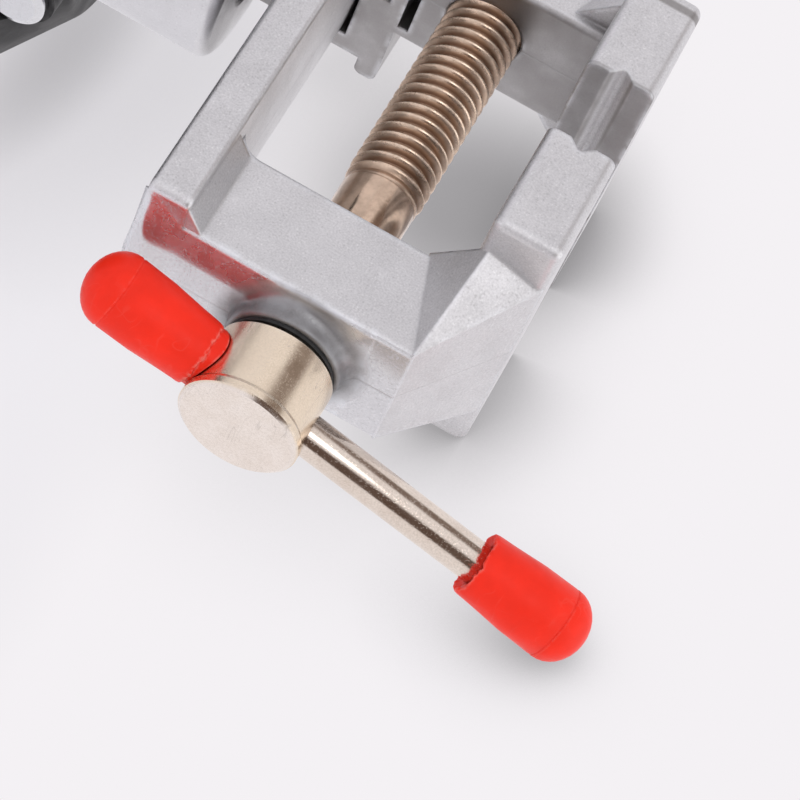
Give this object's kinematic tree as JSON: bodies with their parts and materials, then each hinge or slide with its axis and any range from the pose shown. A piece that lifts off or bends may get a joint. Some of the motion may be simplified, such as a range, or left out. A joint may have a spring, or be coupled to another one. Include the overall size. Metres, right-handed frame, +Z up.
{
  "type": "ball joint bench vise with suction foot",
  "caption": "Small bench vise with a sliding jaw on a lead screw, a ball joint with a lock knob, and a cam lever suction foot.",
  "frame": {"origin": "middle of the foot's underside, on the surface it stands on", "axes": "+Z up, +Y along the lead screw from its handle to the fixed jaw, +X across the jaws"},
  "size_m": [0.098, 0.1309, 0.1345],
  "materials": {
    "casting": "bare die-cast alloy, satin, speckled, worn bright at its edges",
    "housing": "bare die-cast alloy, satin",
    "screw_thread": "nickel-plated steel with a brown bronze tone",
    "nickel_head": "warm nickel plate, semi-bright",
    "nickel_bar": "warm nickel plate, bright, lightly scratched",
    "red_cap": "soft red vinyl, semi-gloss",
    "dark_washer": "black nylon",
    "plain_steel": "zinc-plated steel",
    "ball_steel": "polished steel",
    "black_steel": "black oxide",
    "nylon": "natural nylon",
    "knob_plastic": "black moulded plastic",
    "shell_plastic": "black moulded plastic, fine texture",
    "cup_rubber": "soft black rubber",
    "brass": "turned",
    "bright_cap": "bright pressed cap",
    "lever_metal": "die-cast alloy, satin",
    "grip_rubber": "matt black sleeve"
  },
  "bodies": {
    "foot": {"base_shell": "shell_plastic", "suction_cup": "cup_rubber", "socket_housing": "housing", "housing_screws": "plain_steel", "seat_plate": "plain_steel", "front_bush": "nylon", "rear_bush": "nylon"},
    "seat": {"ball_seat": "nylon"},
    "head": {"ball_stem": "ball_steel", "stem_screw": "black_steel", "fixed_jaw_body": "casting"},
    "moving jaw": {"movable_jaw": "casting", "thrust_washer": "dark_washer", "retaining_pin": "plain_steel"},
    "screw": {"lead_screw": "screw_thread", "screw_head": "nickel_head"},
    "handle": {"tommy_bar": "nickel_bar", "tommy_cap_upper": "red_cap", "tommy_cap_lower": "red_cap"},
    "lock pad": {"lock_pad": "nylon"},
    "lock knob": {"lock_screw": "plain_steel", "lock_knob": "knob_plastic"},
    "cam": {"cam_shaft": "plain_steel", "eccentric_cam": "brass", "shaft_cap": "bright_cap", "suction_lever": "lever_metal", "lever_grip": "grip_rubber", "lever_screw": "plain_steel"},
    "stud": {"cup_stud": "plain_steel", "stud_nut": "plain_steel", "cam_yoke": "plain_steel"}
  },
  "joints": [
    {"name": "ball_swivel", "type": "hinge", "parent": "foot", "child": "seat", "pos_m": [0, 0, 0.0408], "axis": [0, 0, 1], "continuous": true},
    {"name": "ball_tilt", "type": "hinge", "parent": "seat", "child": "head", "pos_m": [0, 0, 0.0408], "axis": [1, 0, 0], "range_deg": [-11, 13]},
    {"name": "jaw_slide", "type": "slide", "parent": "head", "child": "moving jaw", "axis": [0, 1, 0], "range_m": [-0.0224, 0.01295]},
    {"name": "screw_turn", "type": "hinge", "parent": "moving jaw", "child": "screw", "pos_m": [0, -0.0687, 0.0797], "axis": [0, 1, 0], "range_deg": [-4033, 2332]},
    {"name": "handle_slide", "type": "slide", "parent": "screw", "child": "handle", "axis": [-0.2504, 0, -0.9681], "range_m": [0, 0.0282]},
    {"name": "lock_pad_slide", "type": "slide", "parent": "foot", "child": "lock pad", "axis": [-1, 0, 0], "range_m": [0, 0.00125]},
    {"name": "lock_knob_turn", "type": "hinge", "parent": "lock pad", "child": "lock knob", "pos_m": [-0.03, 0, 0.0372], "axis": [-1, 0, 0], "range_deg": [0, 361]},
    {"name": "suction_lever_turn", "type": "hinge", "parent": "foot", "child": "cam", "pos_m": [0, 0.042, 0.0212], "axis": [0, 1, 0], "range_deg": [0, 180]},
    {"name": "stud_slide", "type": "slide", "parent": "foot", "child": "stud", "axis": [0, 0, -1], "range_m": [0, 0.00165], "deforming": ["suction_cup"]}
  ],
  "couplings": [
    {"joint": "screw_turn", "follows": "jaw_slide", "rad_per_m": 3141.6},
    {"joint": "lock_knob_turn", "follows": "lock_pad_slide", "rad_per_m": 5026.5},
    {"joint": "stud_slide", "follows": "suction_lever_turn", "m_per_rad": 0.0005093}
  ]
}
